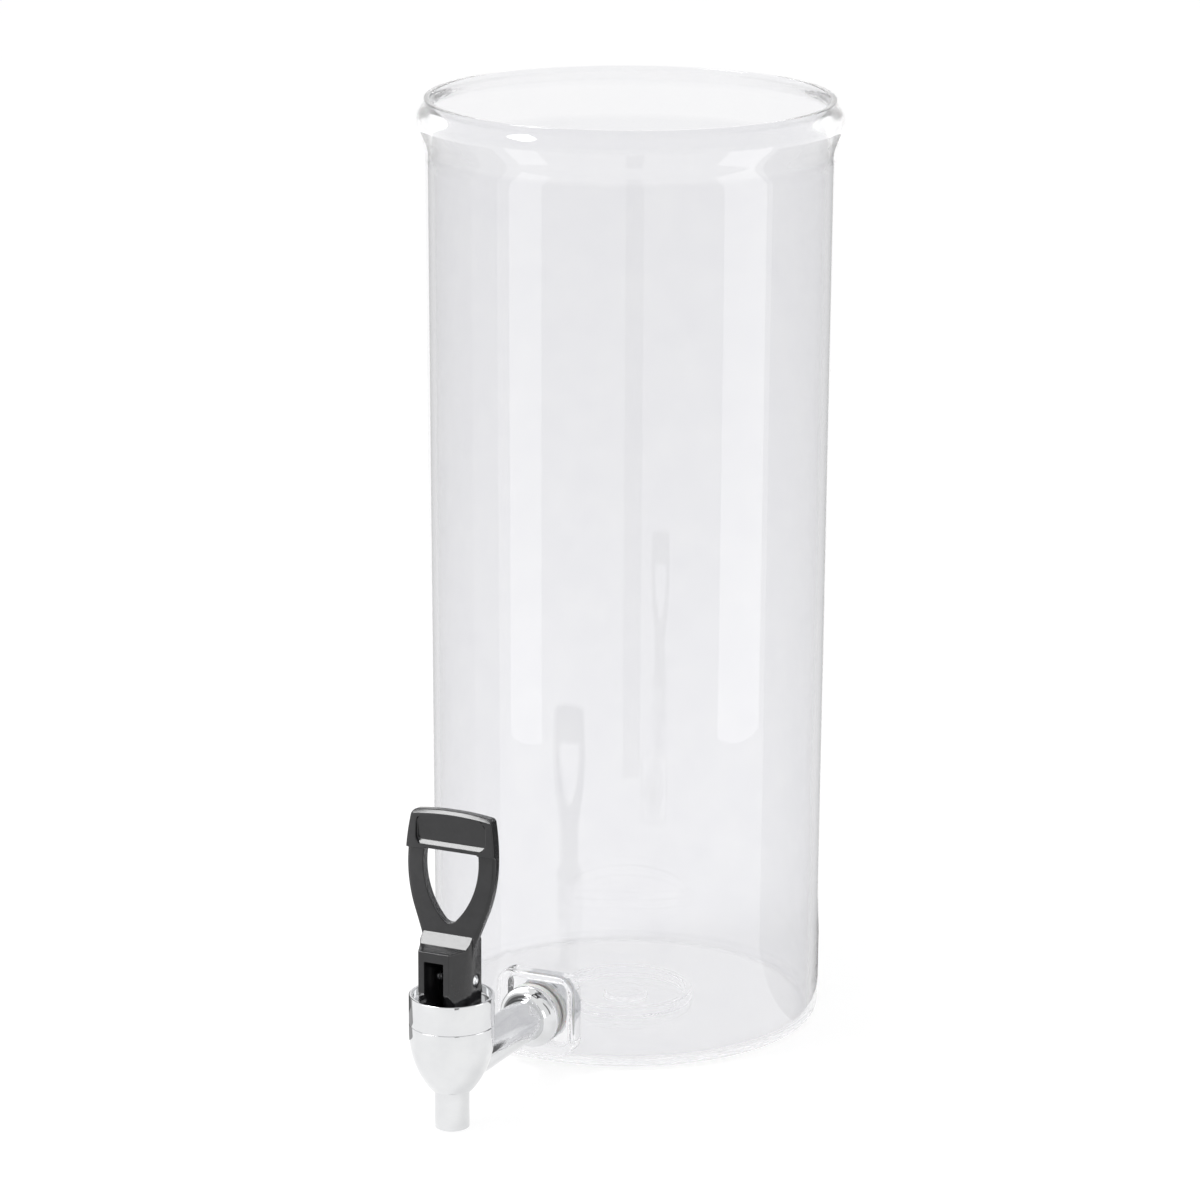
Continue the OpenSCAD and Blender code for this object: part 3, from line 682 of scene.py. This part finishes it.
def lever_handle():
    """The black lever: a slotted block and a ring grip with a crossbar and thumb rest."""
    back = GRIP_FRONT - GRIP_T
    bar_front = GRIP_FRONT + BAR_PROUD
    plate = grip_slab("lever_handle", mirrored(grip_outline()), back, bar_front)
    set_back = [(-GRIP_W, 0), (GRIP_W, 0), (GRIP_W, BAR_FOOT), (0, BAR_FOOT), (-GRIP_W, BAR_FOOT)]
    combine(plate, grip_slab("set_back", set_back, GRIP_FRONT, bar_front + 5), "DIFFERENCE")
    chamfer_legs(plate, GRIP_FRONT, LEG_CHAMFER)
    hole = grip_slab("hole", mirrored(hole_outline()), back - 20, bar_front + 20)
    combine(plate, lever_block(), "UNION")
    combine(plate, hole, "DIFFERENCE")
    combine(plate, brow_cone(bar_front), "DIFFERENCE")
    combine(plate, thumb_scoop(bar_front), "DIFFERENCE")
    slot = cut_out(
        "slot",
        [at_tap(-SLOT_W / 2, y, z) for y, z in (
            (-NOSE_Y - 2, BLOCK_FOOT - 2), (SLOT_BACK, BLOCK_FOOT - 2),
            (SLOT_BACK, SLOT_TOP), (-NOSE_Y - 2, SLOT_TOP))],
        (SLOT_W, 0, 0))
    combine(plate, slot, "DIFFERENCE")
    side = BLOCK_W / 2
    recess_r, recess = PIN_R + 0.7, 0.8
    eye_r = PIN_R + FIXED_PLAY
    eye = turned(
        "eye",
        [(0, -side - 2), (recess_r, -side - 2), (recess_r, recess - side), (eye_r, recess - side),
         (eye_r, side - recess), (recess_r, side - recess), (recess_r, side + 2), (0, side + 2)],
        at_tap(0, 0, PIN_Z), (1, 0, 0), (0, 0, 1), 64, False)
    combine(plate, eye, "DIFFERENCE")
    tidy_faces(plate, SMALL_EDGE * MM)
    modify(plate, "BEVEL", width=EDGE_ROUND * MM, segments=3, limit_method="ANGLE",
           angle_limit=radians(32), use_clamp_overlap=False)
    smooth(plate, 40)
    return modify(plate, "WEIGHTED_NORMAL", keep_sharp=True)


def lever_block():
    """The slotted block at the lever's foot: its plan cut by a side view with shelf and heel."""
    top = BLOCK_TOP + SHELF_RISE
    root_front = GRIP_FRONT - (top - PIN_Z) * tan(radians(GRIP_LEAN))
    root_back = GRIP_T - root_front
    slope = HEEL_RISE / (NOSE_Y - HEEL_Y)
    half, nose = BLOCK_W / 2, NOSE_W / 2
    plan = [(-nose, -NOSE_Y), (nose, -NOSE_Y), (half, -FLANK_FRONT), (half, FLANK_BACK),
            (nose, TAIL_Y), (-nose, TAIL_Y), (-half, FLANK_BACK), (-half, -FLANK_FRONT)]
    low, high = BLOCK_FOOT - 2, top + 4
    block = cut_out("block", [at_tap(x, y, low) for x, y in plan], (0, 0, high - low))
    crest = top + CREST_SINK * SHELF_RISE / SHELF_RUN
    view = [
        (-NOSE_Y - 1, BLOCK_FOOT + HEEL_RISE + slope), (-HEEL_Y, BLOCK_FOOT), (TAIL_Y - 1, BLOCK_FOOT),
        (TAIL_Y + 1, BLOCK_FOOT + 2), (TAIL_Y + 1, BLOCK_TOP - 2), (TAIL_Y, BLOCK_TOP - 2), (root_back, top),
        (root_back - CREST_SINK, crest), (CREST_SINK - root_front, crest),
        (-root_front - SHELF_RUN, BLOCK_TOP), (-NOSE_Y - 1, BLOCK_TOP)]
    side = cut_out("side", [at_tap(-half - 1, y, z) for y, z in view], (BLOCK_W + 2, 0, 0))
    return combine(block, side, "INTERSECT")


def brow_cone(bar_front):
    """The bevel along the crossbar's arched top: a cone about the arch's own centre."""
    half = GRIP_TOP_W / 2 - GRIP_CORNER_R
    arch_r = (half * half + GRIP_CROWN ** 2) / (2 * GRIP_CROWN)
    centre = leaning(0, 0, GRIP_TOP - arch_r)
    forward = leaning(0, -1, GRIP_TOP - arch_r) - centre
    upward = leaning(0, 0, GRIP_TOP - arch_r + 1) - centre
    return turned(
        "brow",
        [(arch_r - BROW_BEVEL - 1, bar_front + 1), (arch_r, bar_front + 2), (arch_r + 2, bar_front + 2),
         (arch_r + 2, bar_front), (arch_r + 1, bar_front - BROW_BEVEL - 1)],
        centre, forward, upward, 240)


def thumb_scoop(bar_front):
    """The hollow in the crossbar's front that deepens towards its lip."""
    lip = HOLE_TOP + THUMB_LIP
    deep = lip + THUMB_DEPTH
    brow = GRIP_TOP - GRIP_CROWN - BROW_BEVEL - BROW_LAND
    half = THUMB_W / 2
    view = [(-bar_front - 1, brow), (-bar_front, brow), (0.7 * THUMB_DEPTH - bar_front, (brow + deep) / 2),
            (THUMB_DEPTH - bar_front, deep), (-bar_front, lip), (-bar_front - 1, lip)]
    scoop = cut_out("scoop", [leaning(-half - 1, y, z) for y, z in view], (THUMB_W + 2, 0, 0))
    low, high, r = lip - 0.5, brow + 0.5, THUMB_END_R
    ends = arc(half - r, high - r, r, 0, 90, 8) + arc(r - half, high - r, r, 90, 180, 8)
    ends += arc(r - half, low + r, r, 180, 270, 8) + arc(half - r, low + r, r, 270, 360, 8)
    return combine(scoop, grip_slab("ends", ends, -4, bar_front + 4), "INTERSECT")


def pivot_pin():
    """The steel cross-pin with rounded, dimpled ends."""
    half = BLOCK_W / 2 - 0.3
    edge = 0.35
    right = (
        arc(PIN_R - edge, half - edge, edge, 0, 90, 4)
        + arc(0, half + 1.35, 1.7, -35, -90, 6))
    profile = [(r, -h) for r, h in reversed(right)] + right
    pin = turned("pivot_pin", profile, at_tap(0, 0, PIN_Z), (1, 0, 0), (0, 0, 1), 48, False)
    return smooth(pin, 40)


def stem():
    """The plastic valve stem with its foot and the eye for the pin."""
    head = PIN_Z + STEM_HEAD_RISE
    body = turned_on_tap(
        "stem",
        [(0, STEM_FOOT), (STEM_FOOT_R, STEM_FOOT), (STEM_FOOT_R, STEM_FOOT_TOP),
         (STEM_NECK_R, STEM_FOOT_TOP), (STEM_NECK_R, STEM_SHOULDER), (STEM_R, STEM_SHOULDER), (STEM_R, 20)]
        + arc(STEM_R - 0.8, head - 0.8, 0.8, 0, 90, 5) + [(0, head)], 64, False)
    eye = turned(
        "eye", [(0, -6), (PIN_R + FIXED_PLAY, -6), (PIN_R + FIXED_PLAY, 6), (0, 6)],
        at_tap(0, 0, PIN_Z), (1, 0, 0), (0, 0, 1), 48, False)
    combine(body, eye, "DIFFERENCE")
    return smooth(body, 35)


def seat_cup():
    """The soft cup that closes the valve: a plug, a thin skirt and a clamped flange."""
    plug_foot, plug_top = VALVE_SEAT + 0.1, -0.6
    skirt_r, skirt_t = 10.3, 1.3
    plug_r = 6.6
    low, high = plug_foot + 1.6, plug_foot + 9.6
    top_r = plug_r + (skirt_r - plug_r) / 8 * (plug_top - low) - skirt_t
    cup = turned_on_tap(
        "valve_cup",
        [(0, plug_foot)] + arc(plug_r - 0.5, plug_foot + 0.5, 0.5, -90, 0, 4)
        + [(plug_r, low), (skirt_r, high), (skirt_r, LEDGE + FIXED_PLAY), (CUP_FLANGE_R, LEDGE + FIXED_PLAY),
           (CUP_FLANGE_R, SKIRT_FOOT - FIXED_PLAY), (skirt_r - skirt_t, SKIRT_FOOT - FIXED_PLAY),
           (skirt_r - skirt_t, high),
           (top_r, plug_top), (3.1, plug_top), (3.1, -2.1), (4.8, -2.1), (4.8, -4.1), (0, -4.1)], 80, False)
    return smooth(cup, 35)


def return_spring():
    """The closing spring: a round wire swept along its coils."""
    wire_r, coil_r, turns = 0.6, 5.6, 9
    low, high = STEM_SHOULDER + wire_r, WEB - 0.1 - wire_r
    deselect()
    bpy.ops.mesh.primitive_circle_add(
        vertices=10, radius=wire_r * MM, location=at_tap(coil_r, 0, low) * MM, rotation=(pi / 2, 0, 0))
    coil = bpy.context.object
    coil.name = coil.data.name = "return_spring"
    centre = at_tap(0, 0, 0) * MM
    bpy.ops.object.transform_apply(location=True, rotation=True, scale=True)
    bpy.context.scene.cursor.location = (centre.x, centre.y, 0)
    bpy.ops.object.origin_set(type="ORIGIN_CURSOR")
    modify(coil, "SCREW", angle=2 * pi * turns, screw_offset=(high - low) * MM, steps=24 * turns,
           render_steps=24 * turns, axis="Z")
    bpy.ops.object.transform_apply(location=True, rotation=True, scale=True)
    bpy.ops.object.mode_set(mode="EDIT")
    bpy.ops.mesh.select_all(action="SELECT")
    bpy.ops.mesh.fill_holes(sides=12)
    tidy_faces(coil)
    return smooth(coil, 50)


def washer_ring(name, outer, inner, start, end, edge):
    """A flat ring on the shank with rounded edges."""
    ring = turned_on_shank(
        name,
        arc(outer - edge, start + edge, edge, -90, 0, 3) + arc(outer - edge, end - edge, edge, 0, 90, 3)
        + [(inner, end), (inner, start)], 80)
    return smooth(ring, 40)


def clamp_nut():
    """The hexagonal nut inside the vessel with bevelled corners."""
    corner = NUT_AF / sqrt(3)
    hexagon = [at_tap(corner * cos(pi * i / 3), NUT_FACE, corner * sin(pi * i / 3)) for i in range(6)]
    nut = cut_out("clamp_nut", hexagon, (0, NUT_H, 0))
    drum = turned_on_shank(
        "drum",
        [(THREAD_R + FIXED_PLAY, NUT_FACE), (corner - 0.7, NUT_FACE), (corner + 0.3, NUT_FACE + 0.9),
         (corner + 0.3, NUT_FACE + NUT_H - 1.2), (NUT_AF / 2 - 0.3, NUT_FACE + NUT_H),
         (THREAD_R + 0.8, NUT_FACE + NUT_H), (THREAD_R + FIXED_PLAY, NUT_FACE + NUT_H - 0.7)], 96)
    combine(nut, drum, "INTERSECT")
    return smooth(nut, 30)


def shank_thread():
    """The thread cut on the shank's end."""
    start, end = FLANGE_FACE + 0.3, THREAD_END - 0.4
    turns = int((end - start) / THREAD_PITCH) - 1
    root = THREAD_R - THREAD_DEPTH
    base = at_tap(0, 0, 0)
    ridge = line("shank_thread", [
        base + Vector((0, start, root)), base + Vector((0, start + 0.55, THREAD_R - 0.02)),
        base + Vector((0, start + 0.75, THREAD_R - 0.02)), base + Vector((0, start + 1.3, root))])
    bpy.ops.mesh.select_all(action="SELECT")
    bpy.ops.mesh.edge_face_add()
    bpy.ops.object.mode_set(mode="OBJECT")
    bpy.context.scene.cursor.location = base * MM
    bpy.ops.object.origin_set(type="ORIGIN_CURSOR")
    modify(ridge, "SCREW", angle=2 * pi * turns, screw_offset=turns * THREAD_PITCH * MM, steps=36 * turns,
           render_steps=36 * turns, axis="Y")
    bpy.ops.object.transform_apply(location=True, rotation=True, scale=True)
    tidy_faces(ridge)
    return smooth(ridge, 30)


clear = clear_plastic()
chrome_plate = chrome()
black = black_plastic()
bright_steel = steel("bright_steel", (0.62, 0.63, 0.65), (0.74, 0.75, 0.76))
white_soft = silicone("white_silicone", (0.80, 0.80, 0.77), (0.86, 0.86, 0.84))
grey_soft = silicone("gasket_silicone", (0.86, 0.86, 0.84), (0.92, 0.92, 0.90))

give(vessel_shell(), clear, "dispenser", "clear_plastic", "vessel")
give(tap_bowl(), chrome_plate, "dispenser", "chrome", "tap_body")
give(shank_thread(), chrome_plate, "dispenser", "chrome")
give(bonnet_collar(), chrome_plate, "dispenser", "chrome", "bonnet")
give(lever_handle(), black, "lever", "black_plastic", "handle")
give(pivot_pin(), bright_steel, "stem", "steel", "handle_pin")
give(stem(), black, "stem", "stem_plastic", "valve_stem")
cup = give(seat_cup(), white_soft, None, "white_silicone", "seat_cup")
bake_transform(cup)
coil = give(return_spring(), bright_steel, "dispenser", "steel", "spring")
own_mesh(coil)
give(washer_ring("seal_outside", FLANGE_R, THREAD_R + FIXED_PLAY, FLANGE_FACE, TAP_REACH, 0.5),
     grey_soft, "dispenser", "gasket_silicone", "outer_gasket")
give(washer_ring("seal_inside", WASHER_R, THREAD_R + FIXED_PLAY, SEAT_BACK, WASHER_FACE, 0.5),
     grey_soft, "dispenser", "gasket_silicone", "inner_gasket")
give(washer_ring("clamp_washer", WASHER_R, THREAD_R + FIXED_PLAY, WASHER_FACE, NUT_FACE, 0.25),
     bright_steel, "dispenser", "steel", "flat_washer")
give(clamp_nut(), bright_steel, "dispenser", "steel", "shank_nut")


# Studio

CAMERA_TURN = radians(25.14)


def studio_camera():
    """The camera of the photograph: a long lens from the tap's right, looking down."""
    away, height = 2.073, 0.743
    yaw, pitch, roll = radians(0.335), radians(15.01), radians(0.239)
    view = bpy.data.cameras.new("camera")
    view.lens, view.sensor_width = 146.58, 36
    view.clip_start, view.clip_end = 0.05, 60
    camera = bpy.data.objects.new("camera", view)
    bpy.context.scene.collection.objects.link(camera)
    turn = (
        Matrix.Rotation(CAMERA_TURN + yaw, 4, "Z")
        @ Matrix.Rotation(pi / 2 - pitch, 4, "X")
        @ Matrix.Rotation(roll, 4, "Z"))
    place = Matrix.Translation(round_vessel(0, away, height))
    camera.matrix_world = place @ turn
    bpy.context.scene.camera = camera


def seen_share(tree):
    """1 for rays that show the background: from the camera, by reflection or through the clear wall."""
    path = tree.nodes.new("ShaderNodeLightPath")
    first = tree.nodes.new("ShaderNodeMath")
    first.operation = "MAXIMUM"
    tree.links.new(path.outputs["Is Camera Ray"], first.inputs[0])
    tree.links.new(path.outputs["Is Glossy Ray"], first.inputs[1])
    second = tree.nodes.new("ShaderNodeMath")
    second.operation = "MAXIMUM"
    tree.links.new(first.outputs[0], second.inputs[0])
    tree.links.new(path.outputs["Is Transmission Ray"], second.inputs[1])
    return second.outputs[0]


def studio_world():
    """A white surround for what is seen, and a soft even light for what is lit."""
    world = bpy.data.worlds.new("studio")
    bpy.context.scene.world = world
    world.use_nodes = True
    tree = world.node_tree
    seen = tree.nodes["Background"]
    seen.inputs["Color"].default_value = (1, 1, 1, 1)
    seen.inputs["Strength"].default_value = 1.0
    lit = tree.nodes.new("ShaderNodeBackground")
    lit.inputs["Color"].default_value = (1, 1, 1, 1)
    lit.inputs["Strength"].default_value = 0.55
    mix = tree.nodes.new("ShaderNodeMixShader")
    tree.links.new(seen_share(tree), mix.inputs[0])
    tree.links.new(lit.outputs[0], mix.inputs[1])
    tree.links.new(seen.outputs[0], mix.inputs[2])
    tree.links.new(mix.outputs[0], tree.nodes["World Output"].inputs["Surface"])


def studio_floor():
    """A pale floor that keeps the object's shadow."""
    deselect()
    bpy.ops.mesh.primitive_plane_add(size=12, location=(0, 0, -0.0006))
    floor = bpy.context.object
    floor.name = floor.data.name = "floor"
    material = bpy.data.materials.new("floor_white")
    material.use_nodes = True
    tree = material.node_tree
    shader = tree.nodes["Principled BSDF"]
    shader.inputs["Base Color"].default_value = (0.3, 0.3, 0.3, 1)
    shader.inputs["Roughness"].default_value = 0.9
    shader.inputs["Specular IOR Level"].default_value = 0.0
    glow = tree.nodes.new("ShaderNodeEmission")
    level = tree.nodes.new("ShaderNodeMath")
    level.operation = "MULTIPLY"
    tree.links.new(seen_share(tree), level.inputs[0])
    level.inputs[1].default_value = 0.84
    tree.links.new(level.outputs[0], glow.inputs["Strength"])
    both = tree.nodes.new("ShaderNodeAddShader")
    tree.links.new(shader.outputs[0], both.inputs[0])
    tree.links.new(glow.outputs[0], both.inputs[1])
    tree.links.new(both.outputs[0], tree.nodes["Material Output"].inputs["Surface"])
    floor.data.materials.append(material)


def softbox(name, place, target, width, height, power):
    """A soft lamp that looks at a point and shows only in reflections."""
    lamp = bpy.data.lights.new(name, "AREA")
    lamp.shape = "RECTANGLE"
    lamp.size, lamp.size_y = width, height
    lamp.energy = power
    box = bpy.data.objects.new(name, lamp)
    bpy.context.scene.collection.objects.link(box)
    box.location = place
    box.rotation_euler = (Vector(target) - Vector(place)).to_track_quat("-Z", "Y").to_euler()
    box.visible_camera = False
    box.visible_transmission = False


def round_vessel(turn, away, height):
    """A point round the vessel; turn is counted from the camera's side, to the right."""
    angle = CAMERA_TURN + radians(turn)
    return Vector((away * sin(angle), -away * cos(angle), height))


def grey_screen(name, start, end, profile, tone):
    """A curved grey screen beside the object, which only reflections show."""
    screen = line(name, [round_vessel(start, away, z) / MM for away, z in profile])
    bpy.ops.mesh.select_all(action="SELECT")
    bpy.ops.mesh.spin(steps=24, angle=radians(start - end), center=(0, 0, 0), axis=(0, 0, 1))
    tidy_faces(screen)
    material = bpy.data.materials.new(name)
    material.use_nodes = True
    tree = material.node_tree
    glow = tree.nodes.new("ShaderNodeEmission")
    glow.inputs["Color"].default_value = (tone, tone, tone, 1)
    tree.links.new(glow.outputs[0], tree.nodes["Material Output"].inputs["Surface"])
    screen.data.materials.append(material)
    screen.visible_camera = screen.visible_diffuse = screen.visible_shadow = False
    screen.visible_transmission = False


studio_camera()
studio_world()
studio_floor()
softbox("key_box", (-0.52, -0.47, 1.15), (0, -0.17, 0.1), 0.42, 0.42, 8.0)
strip_away, strip_middle, strip_h = 0.54, 0.15, 0.3
for name, turn, width, power in (("left_strip", -56.1, 0.183, 0.22), ("right_strip", 63.4, 0.256, 0.33)):
    place = round_vessel(turn, strip_away, strip_middle)
    softbox(name, place, (0, 0, strip_middle), width, strip_h, power)
standing = [(0.096, 0.0004), (0.2, 0.0004), (0.2, 0.36)]
grey_screen("left_screen", -133, -80, standing, 0.14)
grey_screen("left_side_screen", -80, -63, standing, 0.42)
grey_screen("right_screen", 69, 137, standing, 0.16)
grey_screen("front_screen", -2, 7, [(0.5, 0.0), (0.5, 0.3)], 0.2)

bpy.context.scene.view_settings.view_transform = "Standard"
paths = bpy.context.scene.cycles
paths.max_bounces, paths.glossy_bounces, paths.transmission_bounces = 128, 128, 128
